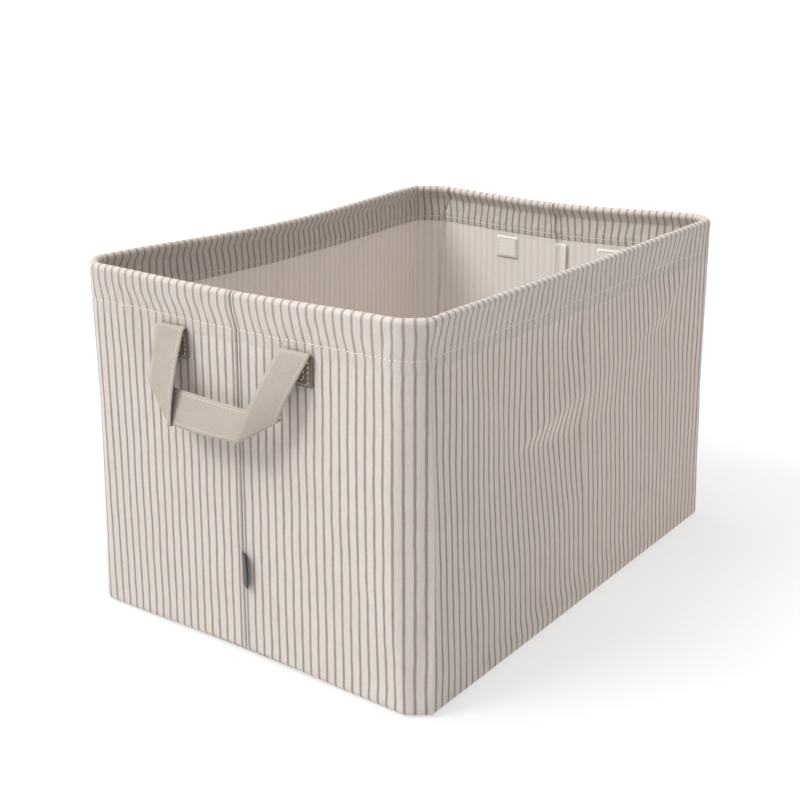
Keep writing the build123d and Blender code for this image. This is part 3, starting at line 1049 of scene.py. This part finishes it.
def webbing_material(name="webbing", light=(174, 164, 155), dark=(160, 149, 140)):
    """Ribbed webbing with a line of dashes woven in near each edge."""
    n = Nodes(name)
    x, y = n.cloth()
    slub, cloud = n.streaks(0.5, 2.0, 3.0, 0.6), n.streaks(0.05, 0.05, 2.0)
    ground = n.two_tone(slub, light, dark)
    ground = n.mix(n.ramp(cloud, 0.3, 0.7, 0.0, 0.2), ground, colour(*(c - 10 for c in dark)))
    from_line = n.math("ABSOLUTE", n.math("SUBTRACT", n.math("ABSOLUTE", x), 11.9))
    line = n.ramp(from_line, 0.2, 0.55, 1.0, 0.0)
    dash = n.ramp(n.math("PINGPONG", n.math("DIVIDE", y, 3.2), 0.5), 0.1, 0.16, 0.0, 1.0)
    thread = n.math("MULTIPLY", line, dash)
    base = n.mix(n.math("MULTIPLY", thread, 0.35), ground, colour(222, 214, 205))
    rib = n.math("SINE", n.math("MULTIPLY", x, 2 * pi / 1.25))
    over = n.math("SINE", n.math("MULTIPLY", y, 2 * pi / 1.1))
    height = n.plus(n.plus(rib, over, 0.6), thread, 2.0)
    height = n.math("SUBTRACT", height, n.math("MULTIPLY", line, 1.6))
    return n.finish(n.skin(base, n.ramp(slub, 0.2, 0.8, 0.72, 0.88), {
        "Normal": n.bump(height, 0.35, 0.00012), "Specular IOR Level": 0.3,
        "Sheen Weight": 0.1, "Sheen Roughness": 0.4,
    }))


def thread_material(name="cream_thread", light=(234, 227, 215), dark=(218, 210, 197)):
    n = Nodes(name)
    grain = n.grain(900.0, 2.0)
    return n.finish(n.skin(n.two_tone(grain, light, dark), n.ramp(grain, 0.2, 0.8, 0.45, 0.65), {
        "Normal": n.bump(grain, 0.3, 0.0001), "Specular IOR Level": 0.4, "Sheen Weight": 0.1,
    }))


def label_material():
    n = Nodes("woven_label_tape")
    x, y = n.cloth()
    grain = n.streaks(1.2, 3.0, 2.0)
    base = n.two_tone(grain, (52, 48, 54), (70, 64, 68))
    edge = n.math("MAXIMUM", n.ramp(y, 87.6, 88.2), n.ramp(y, 61.8, 62.4, 1.0, 0.0))
    base = n.mix(n.math("MULTIPLY", edge, 0.5), base, colour(92, 86, 88))
    return n.finish(n.skin(base, n.ramp(grain, 0.2, 0.8, 0.5, 0.68), {
        "Normal": n.bump(weave_height(n, x, y, 0.7), 0.3, 0.00008),
        "Specular IOR Level": 0.35, "Sheen Weight": 0.1,
    }))


def metal_material(name, tint, rough):
    n = Nodes(name)
    grain = n.grain(260.0, 4.0)
    base = n.two_tone(grain, tint, (150, 150, 152))
    rough = n.ramp(grain, 0.2, 0.8, rough - 0.06, rough + 0.1)
    return n.finish(n.skin(base, rough, {"Metallic": 1.0}))


def board_material():
    n = Nodes("grey_board")
    fibre = n.grain(420.0, 5.0, 0.7)
    base = n.two_tone(fibre, (168, 158, 146), (138, 128, 117))
    bump = n.bump(fibre, 0.3, 0.0002)
    return n.finish(n.skin(base, n.ramp(fibre, 0.2, 0.8, 0.8, 0.92), {"Normal": bump}))


def floor_material():
    """Pale, and glowing a little so that the shadow on it stays soft."""
    n = Nodes("pale_floor")
    cloud = n.ramp(n.grain(3.0, 2.0), 0.3, 0.7)
    base = n.mix(cloud, (0.31, 0.31, 0.31, 1), (0.29, 0.29, 0.29, 1))
    return n.finish(n.skin(base, 0.9, {
        "Specular IOR Level": 0.1, "Emission Color": (1, 1, 1, 1), "Emission Strength": 0.6,
    }))


# ---------------- studio

CAMERA_AT = (0.6409, -0.9013, 0.5168)
CAMERA_AIM = (-0.016, -0.012, 0.149)
CAMERA_ROLL = -0.18
LENS = 57.586
# Name, azimuth, elevation and spread in degrees, and strength
SUNS = (("key", -36, 46, 26, 1.8), ("top", -60, 70, 60, 2.4))
# The world between these two heights of a ray, and its brightness there
HORIZON, HORIZON_LIGHT = (0.06, 0.2), (1.05, 0.46)
FLOOR_SIZE, FLOOR_DROP = 60.0, -0.0004


def build_camera():
    data = bpy.data.cameras.new("camera")
    data.lens, data.sensor_width = LENS, 36.0
    data.clip_start, data.clip_end = 0.02, 200.0
    camera = bpy.data.objects.new("camera", data)
    back = (Vector(CAMERA_AT) - Vector(CAMERA_AIM)).normalized()
    right = Vector((0, 0, 1)).cross(back).normalized()
    up = back.cross(right)
    roll = radians(CAMERA_ROLL)
    right, up = right * cos(roll) + up * sin(roll), up * cos(roll) - right * sin(roll)
    camera.matrix_world = Matrix(
        [(*row, place) for row, place in zip(zip(right, up, back), CAMERA_AT)] + [(0, 0, 0, 1)]
    )
    bpy.context.scene.collection.objects.link(camera)
    bpy.context.scene.camera = camera


def soft_sun(name, azimuth, elevation, spread, strength):
    """A broad, distant soft light; azimuth 0 is in front of the front end."""
    data = bpy.data.lights.new(name, "SUN")
    data.angle, data.energy = radians(spread), strength
    light = bpy.data.objects.new(name, data)
    a, e = radians(azimuth), radians(elevation)
    towards = Vector((sin(a) * cos(e), -cos(a) * cos(e), sin(e)))
    light.location = towards * 2.5
    light.rotation_euler = towards.to_track_quat("Z", "Y").to_euler()
    bpy.context.scene.collection.objects.link(light)


def build_studio():
    world = bpy.data.worlds.new("studio")
    world.use_nodes = True
    nodes, links = world.node_tree.nodes, world.node_tree.links
    shade = nodes["Background"]
    shade.inputs[0].default_value = (1.0, 0.995, 0.99, 1)
    # Level with the eye the studio is white, like its floor, and overhead it is dimmer.
    place, split = nodes.new("ShaderNodeTexCoord"), nodes.new("ShaderNodeSeparateXYZ")
    bright = nodes.new("ShaderNodeMapRange")
    for k, value in enumerate(HORIZON + HORIZON_LIGHT, 1):
        bright.inputs[k].default_value = value
    links.new(place.outputs["Generated"], split.inputs[0])
    links.new(split.outputs[2], bright.inputs[0])
    links.new(bright.outputs[0], shade.inputs[1])
    bpy.context.scene.world = world
    for sun in SUNS:
        soft_sun(*sun)
    mesh = bpy.data.meshes.new("floor")
    far = FLOOR_SIZE
    corners = [(x, y, FLOOR_DROP) for x, y in ((-far, -far), (far, -far), (far, far), (-far, far))]
    mesh.from_pydata(corners, [], [(0, 1, 2, 3)])
    mesh.materials.append(floor_material())
    floor = bpy.data.objects.new("floor", mesh)
    bpy.context.scene.collection.objects.link(floor)
    bpy.context.scene.view_settings.view_transform = "Standard"


# ---------------- the bin


def build_bin():
    canvas, lining = canvas_material(), lining_material()
    webbing, thread = webbing_material(), thread_material()
    fawn = thread_material("fawn_thread", (176, 166, 156), (158, 147, 136))
    # Painted shade: a darker webbing for the sewn ends, which lie in the strap's shadow.
    shaded = webbing_material("shade_painted_webbing", (136, 118, 109), (118, 101, 92))
    backing = webbing_material("pale_webbing", (232, 228, 222), (222, 217, 210))
    for side, (front, back) in SIDES.items():
        build_panel(f"canvas_{side}", front, back, [canvas, lining])
        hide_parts(f"wall_panel_{side}")
    flaps = [build_flap(f"seam_allowance_{end}", end, [lining]) for end in ENDS]
    build_hem_stitches(thread)
    build_seam_stitches(thread)
    build_wires(
        metal_material("galvanised_wire", (196, 197, 200), 0.34),
        metal_material("steel_sleeve", (184, 184, 188), 0.42),
    )
    base = build_disc("canvas_base", FLOOR_EDGE + 0.1, 1.0, 0.0, "canvas", canvas)
    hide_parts("base_panel")
    sheet = build_disc(
        "inner_sheet", FLOOR_EDGE + 0.3, 4.6, 3.8, "lining",
        lining_material("base_lining", 0.2), 0.35,
    )
    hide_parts("base_inner_sheet")
    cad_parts["base_board"].data.materials.clear()
    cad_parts["base_board"].data.materials.append(board_material())
    for end, body in (("front", "front_handle"), ("back", "back_handle")):
        strap, wall_y = build_strap(end, webbing, shaded)
        build_sewn_stitches(end, wall_y, thread)
        for side in ("left", "right"):
            patch = build_patch(end, side, backing, fawn)
    label = build_label(label_material())


build_bin()
build_camera()
build_studio()
